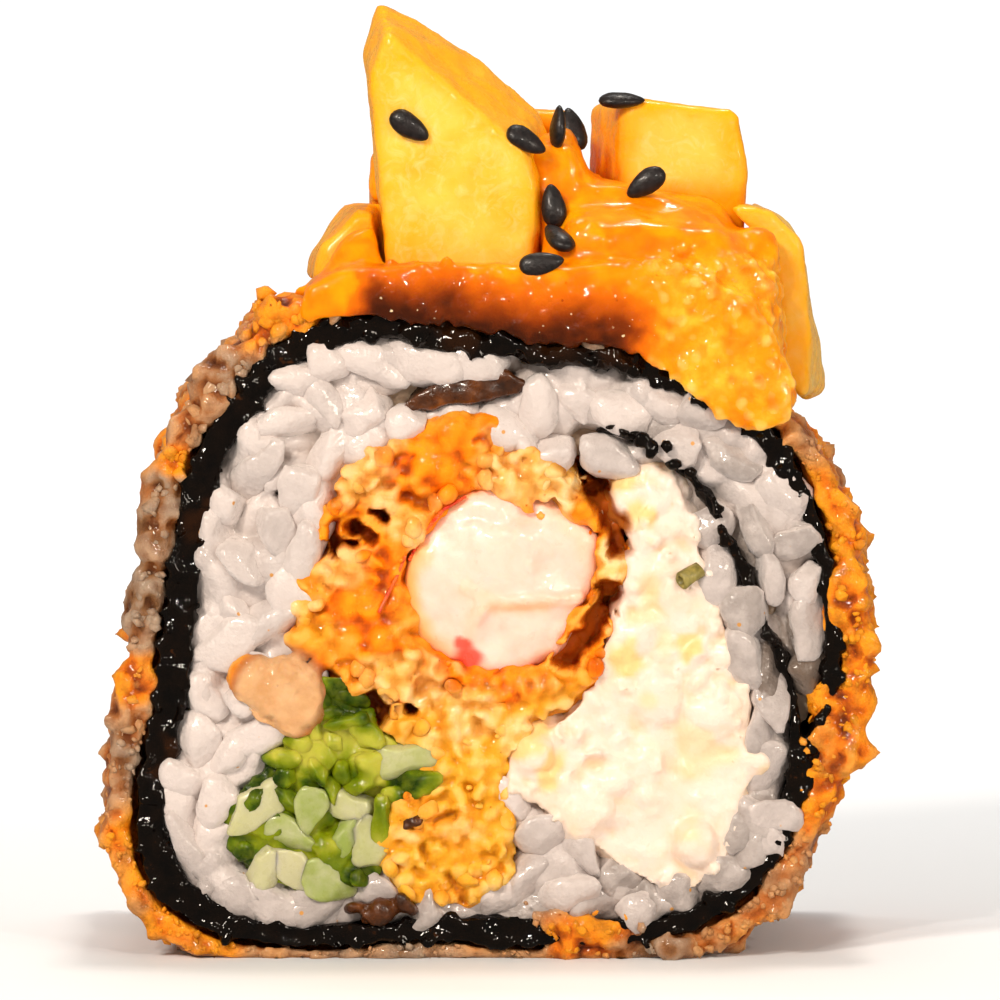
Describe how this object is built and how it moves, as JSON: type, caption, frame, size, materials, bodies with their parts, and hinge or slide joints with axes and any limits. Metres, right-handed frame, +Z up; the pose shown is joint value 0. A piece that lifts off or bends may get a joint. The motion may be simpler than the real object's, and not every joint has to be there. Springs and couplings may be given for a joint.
{
  "type": "shrimp sushi roll slice",
  "caption": "Slice of breaded, fried sushi roll with shrimp, cream cheese and rice, topped with mango chunks in a thick fruit glaze, standing with its cut face forward.",
  "frame": {"origin": "middle of the flat underside that the slice stands on (bottom centre of the bounding box)", "axes": "+Z up, the cut face with the filling looks along -Y, +X to the right of that face; the roll's own axis lies along Y"},
  "size_m": [0.052, 0.0282, 0.064],
  "materials": {
    "crumb_coat": "deep-fried bread crumbs, orange-brown, bubbly and slightly oily",
    "nori_sheet": "black soaked seaweed sheet, wrinkled and glossy at the cut edge",
    "nori_fold": "soaked seaweed stained brown, wet and glossy",
    "rice": "moist cooked rice grains, white and partly translucent",
    "shrimp": "cooked shrimp, smooth and moist, cream with an orange rim",
    "tempura_batter": "crumbly fried batter, orange to golden yellow",
    "cream_cheese": "soft cream cheese, lumpy and moist, cream white",
    "spring_onion": "chopped spring onion, wet, yellow-green to deep green",
    "fruit_glaze": "thick orange fruit sauce, wet and shiny, partly clear",
    "mango": "ripe mango flesh, pale yellow centre with a deeper orange rim, wet",
    "glazed_mango": "mango flesh covered with orange fruit sauce, wet and shiny"
  },
  "bodies": {
    "root": {"crumb_coat": "crumb_coat", "nori_sheet": "nori_sheet", "nori_fold": "nori_fold", "rice": "rice", "shrimp": "shrimp", "tempura_batter": "tempura_batter", "cream_cheese": "cream_cheese", "spring_onion": "spring_onion", "fruit_glaze": "fruit_glaze", "mango_wedge": "mango", "mango_cube": "mango", "mango_slice": "glazed_mango", "mango_side": "glazed_mango", "mango_left": "glazed_mango", "mango_back": "glazed_mango"}
  },
  "joints": []
}
